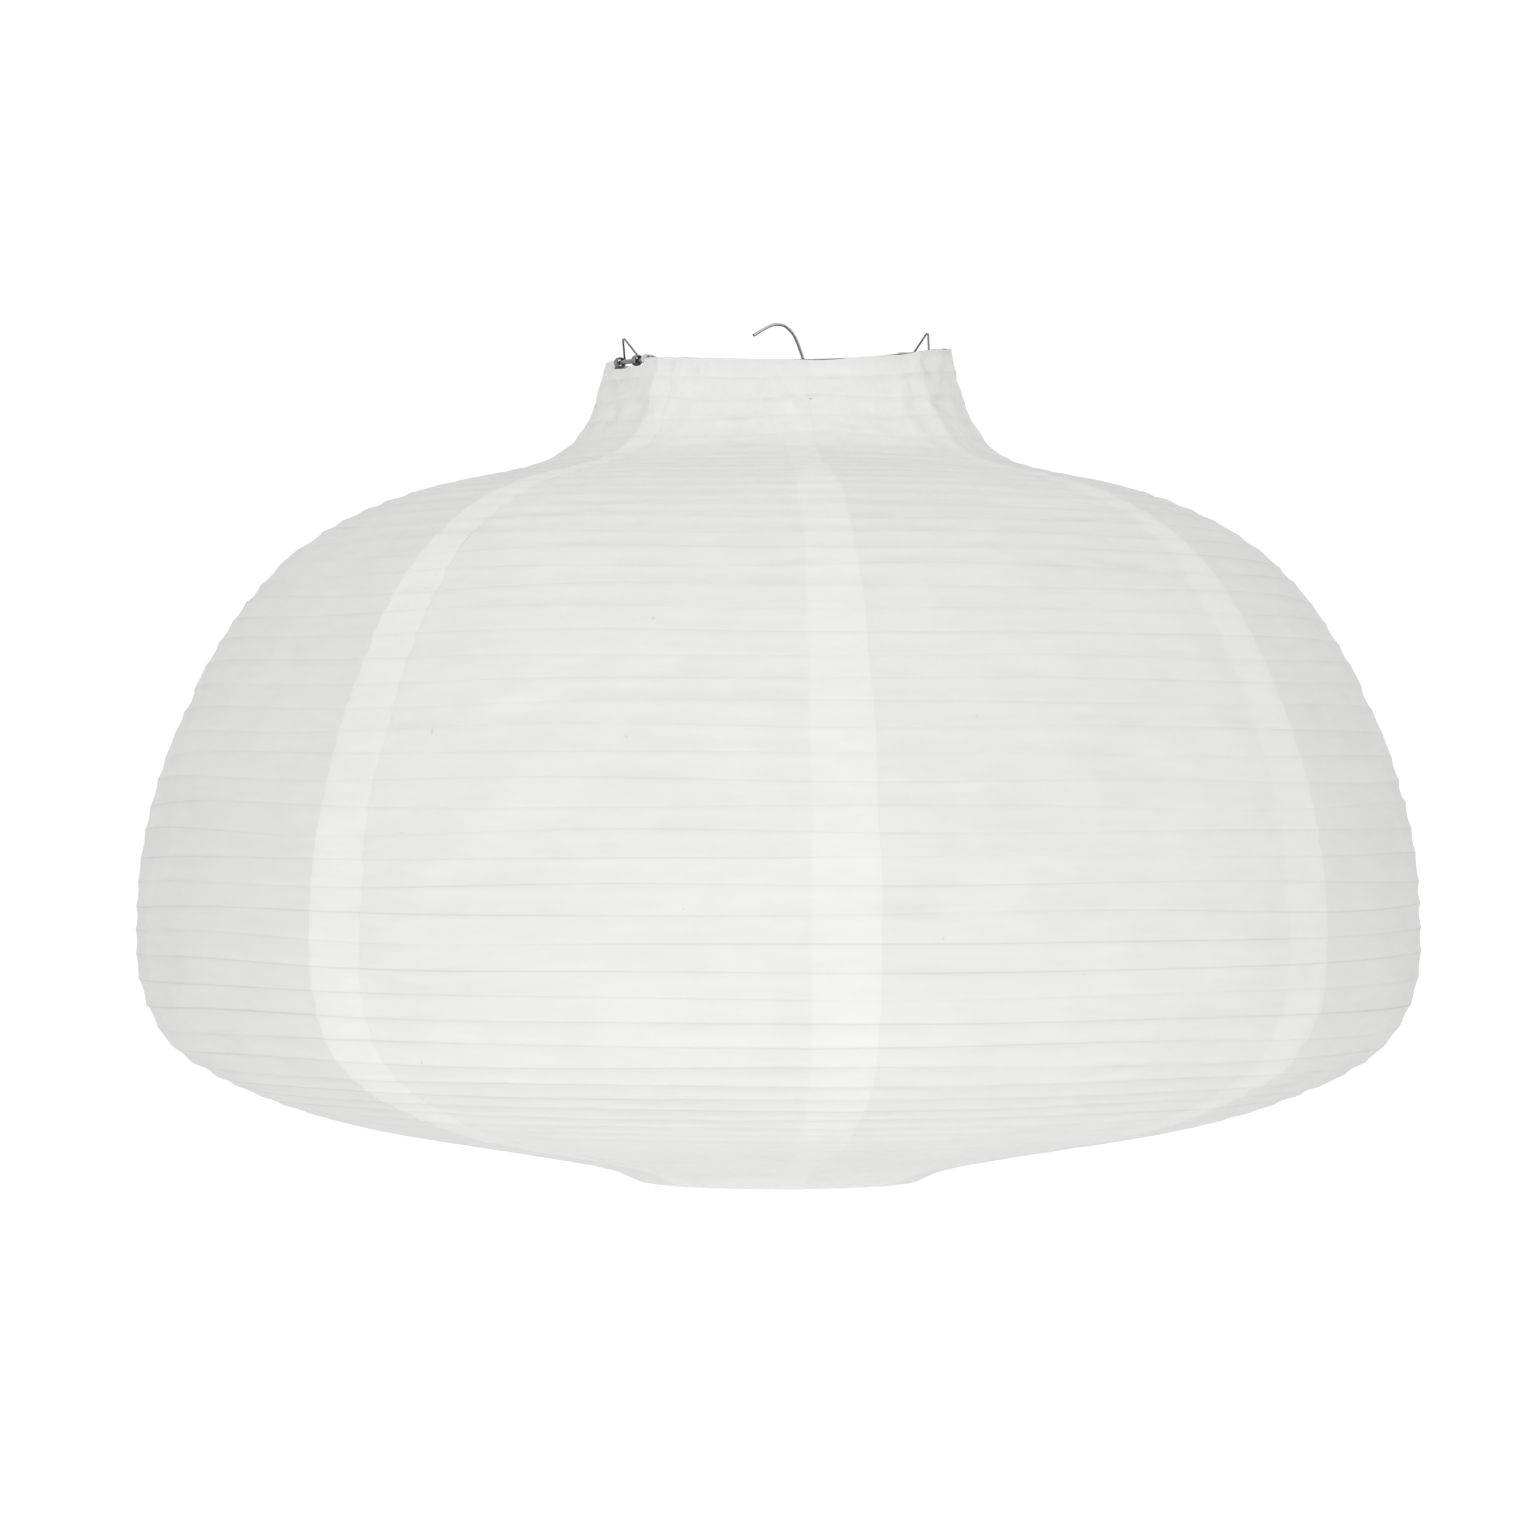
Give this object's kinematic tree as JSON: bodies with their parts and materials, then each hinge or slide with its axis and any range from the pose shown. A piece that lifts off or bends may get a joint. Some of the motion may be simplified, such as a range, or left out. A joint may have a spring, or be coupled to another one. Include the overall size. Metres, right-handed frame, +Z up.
{
  "type": "accordion paper lantern",
  "caption": "Wide round hanging paper lantern: pleated paper on wire hoops, held open by a wire frame with a hook; it folds flat.",
  "frame": {"origin": "inside of the hanging hook's crown, on the shade's axis", "axes": "+Z up along the shade's axis, X along the frame's two arms, with the hook's open tip on the -X side"},
  "size_m": [0.571, 0.571, 0.383],
  "materials": {
    "rice_paper": "matte white rice paper, faint fibres",
    "hoop_wire": "thin drawn steel wire",
    "ring_wire": "drawn steel wire",
    "ear_wire": "dull drawn steel wire",
    "frame_wire": "drawn spring steel wire"
  },
  "bodies": {
    "frame": {"frame_wire_with_hook": "frame_wire", "frame_wire_plain": "frame_wire", "top_ring": "ring_wire", "paper_gore_1": "rice_paper", "paper_gore_2": "rice_paper", "paper_gore_3": "rice_paper", "paper_gore_4": "rice_paper", "paper_gore_5": "rice_paper", "paper_gore_6": "rice_paper", "paper_gore_7": "rice_paper", "paper_gore_8": "rice_paper", "hoop_01": "hoop_wire"},
    "bottom_ring": {"bottom_ring": "ring_wire"},
    "ear_right": {"ear_right": "ear_wire"},
    "ear_left": {"ear_left": "ear_wire"},
    "hoop_02": {"hoop_02": "hoop_wire"},
    "hoop_03": {"hoop_03": "hoop_wire"},
    "hoops_04_to_05": {"hoops_04_to_05": "hoop_wire"},
    "hoops_06_to_09": {"hoops_06_to_09": "hoop_wire"},
    "hoops_10_to_12": {"hoops_10_to_12": "hoop_wire"},
    "hoops_13_to_14": {"hoops_13_to_14": "hoop_wire"},
    "hoops_15_to_16": {"hoops_15_to_16": "hoop_wire"},
    "hoops_17_to_18": {"hoops_17_to_18": "hoop_wire"},
    "hoops_19_to_20": {"hoops_19_to_20": "hoop_wire"},
    "hoop_21": {"hoop_21": "hoop_wire"},
    "hoop_22": {"hoop_22": "hoop_wire"},
    "hoop_23": {"hoop_23": "hoop_wire"},
    "hoop_24": {"hoop_24": "hoop_wire"},
    "hoop_25": {"hoop_25": "hoop_wire"},
    "hoop_26": {"hoop_26": "hoop_wire"},
    "hoop_27": {"hoop_27": "hoop_wire"},
    "hoop_28": {"hoop_28": "hoop_wire"},
    "hoop_29": {"hoop_29": "hoop_wire"},
    "hoop_30": {"hoop_30": "hoop_wire"},
    "hoop_31": {"hoop_31": "hoop_wire"},
    "hoop_32": {"hoop_32": "hoop_wire"},
    "hoop_33": {"hoop_33": "hoop_wire"},
    "hoop_34": {"hoop_34": "hoop_wire"},
    "hoop_35": {"hoop_35": "hoop_wire"},
    "hoop_36": {"hoop_36": "hoop_wire"},
    "hoops_37_to_38": {"hoops_37_to_38": "hoop_wire"},
    "hoops_39_to_40": {"hoops_39_to_40": "hoop_wire"},
    "hoops_41_to_43": {"hoops_41_to_43": "hoop_wire"},
    "hoops_44_to_47": {"hoops_44_to_47": "hoop_wire"},
    "hoops_48_to_51": {"hoops_48_to_51": "hoop_wire"},
    "hoops_52_to_55": {"hoops_52_to_55": "hoop_wire"},
    "hoops_56_to_57": {"hoops_56_to_57": "hoop_wire"}
  },
  "joints": [
    {"name": "collapse", "type": "slide", "parent": "frame", "child": "bottom_ring", "axis": [0, 0, 1], "range_m": [0, 0.318], "deforming": ["paper_gore_1", "paper_gore_2", "paper_gore_3", "paper_gore_4", "paper_gore_5", "paper_gore_6", "paper_gore_7", "paper_gore_8"]},
    {"name": "hoop_02_rise", "type": "slide", "parent": "frame", "child": "hoop_02", "axis": [0, 0, 1], "range_m": [0, 0.01766]},
    {"name": "hoop_03_rise", "type": "slide", "parent": "frame", "child": "hoop_03", "axis": [0, 0, 1], "range_m": [0, 0.02679]},
    {"name": "hoops_04_to_05_rise", "type": "slide", "parent": "frame", "child": "hoops_04_to_05", "axis": [0, 0, 1], "range_m": [0, 0.03786]},
    {"name": "hoops_06_to_09_rise", "type": "slide", "parent": "frame", "child": "hoops_06_to_09", "axis": [0, 0, 1], "range_m": [0, 0.04778]},
    {"name": "hoops_10_to_12_rise", "type": "slide", "parent": "frame", "child": "hoops_10_to_12", "axis": [0, 0, 1], "range_m": [0, 0.05581]},
    {"name": "hoops_13_to_14_rise", "type": "slide", "parent": "frame", "child": "hoops_13_to_14", "axis": [0, 0, 1], "range_m": [0, 0.06476]},
    {"name": "hoops_15_to_16_rise", "type": "slide", "parent": "frame", "child": "hoops_15_to_16", "axis": [0, 0, 1], "range_m": [0, 0.0747]},
    {"name": "hoops_17_to_18_rise", "type": "slide", "parent": "frame", "child": "hoops_17_to_18", "axis": [0, 0, 1], "range_m": [0, 0.0873]},
    {"name": "hoops_19_to_20_rise", "type": "slide", "parent": "frame", "child": "hoops_19_to_20", "axis": [0, 0, 1], "range_m": [0, 0.10223]},
    {"name": "hoop_21_rise", "type": "slide", "parent": "frame", "child": "hoop_21", "axis": [0, 0, 1], "range_m": [0, 0.11441]},
    {"name": "hoop_22_rise", "type": "slide", "parent": "frame", "child": "hoop_22", "axis": [0, 0, 1], "range_m": [0, 0.12289]},
    {"name": "hoop_23_rise", "type": "slide", "parent": "frame", "child": "hoop_23", "axis": [0, 0, 1], "range_m": [0, 0.13157]},
    {"name": "hoop_24_rise", "type": "slide", "parent": "frame", "child": "hoop_24", "axis": [0, 0, 1], "range_m": [0, 0.1404]},
    {"name": "hoop_25_rise", "type": "slide", "parent": "frame", "child": "hoop_25", "axis": [0, 0, 1], "range_m": [0, 0.14935]},
    {"name": "hoop_26_rise", "type": "slide", "parent": "frame", "child": "hoop_26", "axis": [0, 0, 1], "range_m": [0, 0.15841]},
    {"name": "hoop_27_rise", "type": "slide", "parent": "frame", "child": "hoop_27", "axis": [0, 0, 1], "range_m": [0, 0.1676]},
    {"name": "hoop_28_rise", "type": "slide", "parent": "frame", "child": "hoop_28", "axis": [0, 0, 1], "range_m": [0, 0.17693]},
    {"name": "hoop_29_rise", "type": "slide", "parent": "frame", "child": "hoop_29", "axis": [0, 0, 1], "range_m": [0, 0.18639]},
    {"name": "hoop_30_rise", "type": "slide", "parent": "frame", "child": "hoop_30", "axis": [0, 0, 1], "range_m": [0, 0.19595]},
    {"name": "hoop_31_rise", "type": "slide", "parent": "frame", "child": "hoop_31", "axis": [0, 0, 1], "range_m": [0, 0.20559]},
    {"name": "hoop_32_rise", "type": "slide", "parent": "frame", "child": "hoop_32", "axis": [0, 0, 1], "range_m": [0, 0.21528]},
    {"name": "hoop_33_rise", "type": "slide", "parent": "frame", "child": "hoop_33", "axis": [0, 0, 1], "range_m": [0, 0.22498]},
    {"name": "hoop_34_rise", "type": "slide", "parent": "frame", "child": "hoop_34", "axis": [0, 0, 1], "range_m": [0, 0.23465]},
    {"name": "hoop_35_rise", "type": "slide", "parent": "frame", "child": "hoop_35", "axis": [0, 0, 1], "range_m": [0, 0.24423]},
    {"name": "hoop_36_rise", "type": "slide", "parent": "frame", "child": "hoop_36", "axis": [0, 0, 1], "range_m": [0, 0.2535]},
    {"name": "hoops_37_to_38_rise", "type": "slide", "parent": "frame", "child": "hoops_37_to_38", "axis": [0, 0, 1], "range_m": [0, 0.26596]},
    {"name": "hoops_39_to_40_rise", "type": "slide", "parent": "frame", "child": "hoops_39_to_40", "axis": [0, 0, 1], "range_m": [0, 0.27852]},
    {"name": "hoops_41_to_43_rise", "type": "slide", "parent": "frame", "child": "hoops_41_to_43", "axis": [0, 0, 1], "range_m": [0, 0.28896]},
    {"name": "hoops_44_to_47_rise", "type": "slide", "parent": "frame", "child": "hoops_44_to_47", "axis": [0, 0, 1], "range_m": [0, 0.2994]},
    {"name": "hoops_48_to_51_rise", "type": "slide", "parent": "frame", "child": "hoops_48_to_51", "axis": [0, 0, 1], "range_m": [0, 0.30706]},
    {"name": "hoops_52_to_55_rise", "type": "slide", "parent": "frame", "child": "hoops_52_to_55", "axis": [0, 0, 1], "range_m": [0, 0.3136]},
    {"name": "hoops_56_to_57_rise", "type": "slide", "parent": "frame", "child": "hoops_56_to_57", "axis": [0, 0, 1], "range_m": [0, 0.31944]},
    {"name": "ear_right_swing", "type": "hinge", "parent": "frame", "child": "ear_right", "pos_m": [0.07373, -0.0157, -0.01038], "axis": [0.2076, 0.9781, 0.0116], "range_deg": [-45, 30]},
    {"name": "ear_left_swing", "type": "hinge", "parent": "frame", "child": "ear_left", "pos_m": [-0.07373, 0.0157, -0.01862], "axis": [-0.2076, -0.9781, -0.0116], "range_deg": [-45, 30]}
  ],
  "couplings": [
    {"joint": "hoop_02_rise", "follows": "collapse", "ratio": 0.05489},
    {"joint": "hoop_03_rise", "follows": "collapse", "ratio": 0.08361},
    {"joint": "hoops_04_to_05_rise", "follows": "collapse", "ratio": 0.11842},
    {"joint": "hoops_06_to_09_rise", "follows": "collapse", "ratio": 0.14962},
    {"joint": "hoops_10_to_12_rise", "follows": "collapse", "ratio": 0.17487},
    {"joint": "hoops_13_to_14_rise", "follows": "collapse", "ratio": 0.20303},
    {"joint": "hoops_15_to_16_rise", "follows": "collapse", "ratio": 0.23429},
    {"joint": "hoops_17_to_18_rise", "follows": "collapse", "ratio": 0.27391},
    {"joint": "hoops_19_to_20_rise", "follows": "collapse", "ratio": 0.32086},
    {"joint": "hoop_21_rise", "follows": "collapse", "ratio": 0.35914},
    {"joint": "hoop_22_rise", "follows": "collapse", "ratio": 0.38581},
    {"joint": "hoop_23_rise", "follows": "collapse", "ratio": 0.41311},
    {"joint": "hoop_24_rise", "follows": "collapse", "ratio": 0.44089},
    {"joint": "hoop_25_rise", "follows": "collapse", "ratio": 0.46903},
    {"joint": "hoop_26_rise", "follows": "collapse", "ratio": 0.49753},
    {"joint": "hoop_27_rise", "follows": "collapse", "ratio": 0.52643},
    {"joint": "hoop_28_rise", "follows": "collapse", "ratio": 0.55575},
    {"joint": "hoop_29_rise", "follows": "collapse", "ratio": 0.58549},
    {"joint": "hoop_30_rise", "follows": "collapse", "ratio": 0.61558},
    {"joint": "hoop_31_rise", "follows": "collapse", "ratio": 0.64589},
    {"joint": "hoop_32_rise", "follows": "collapse", "ratio": 0.67635},
    {"joint": "hoop_33_rise", "follows": "collapse", "ratio": 0.70685},
    {"joint": "hoop_34_rise", "follows": "collapse", "ratio": 0.73727},
    {"joint": "hoop_35_rise", "follows": "collapse", "ratio": 0.76738},
    {"joint": "hoop_36_rise", "follows": "collapse", "ratio": 0.79655},
    {"joint": "hoops_37_to_38_rise", "follows": "collapse", "ratio": 0.83571},
    {"joint": "hoops_39_to_40_rise", "follows": "collapse", "ratio": 0.87522},
    {"joint": "hoops_41_to_43_rise", "follows": "collapse", "ratio": 0.90806},
    {"joint": "hoops_44_to_47_rise", "follows": "collapse", "ratio": 0.94088},
    {"joint": "hoops_48_to_51_rise", "follows": "collapse", "ratio": 0.96497},
    {"joint": "hoops_52_to_55_rise", "follows": "collapse", "ratio": 0.98553},
    {"joint": "hoops_56_to_57_rise", "follows": "collapse", "ratio": 1.0039}
  ]
}
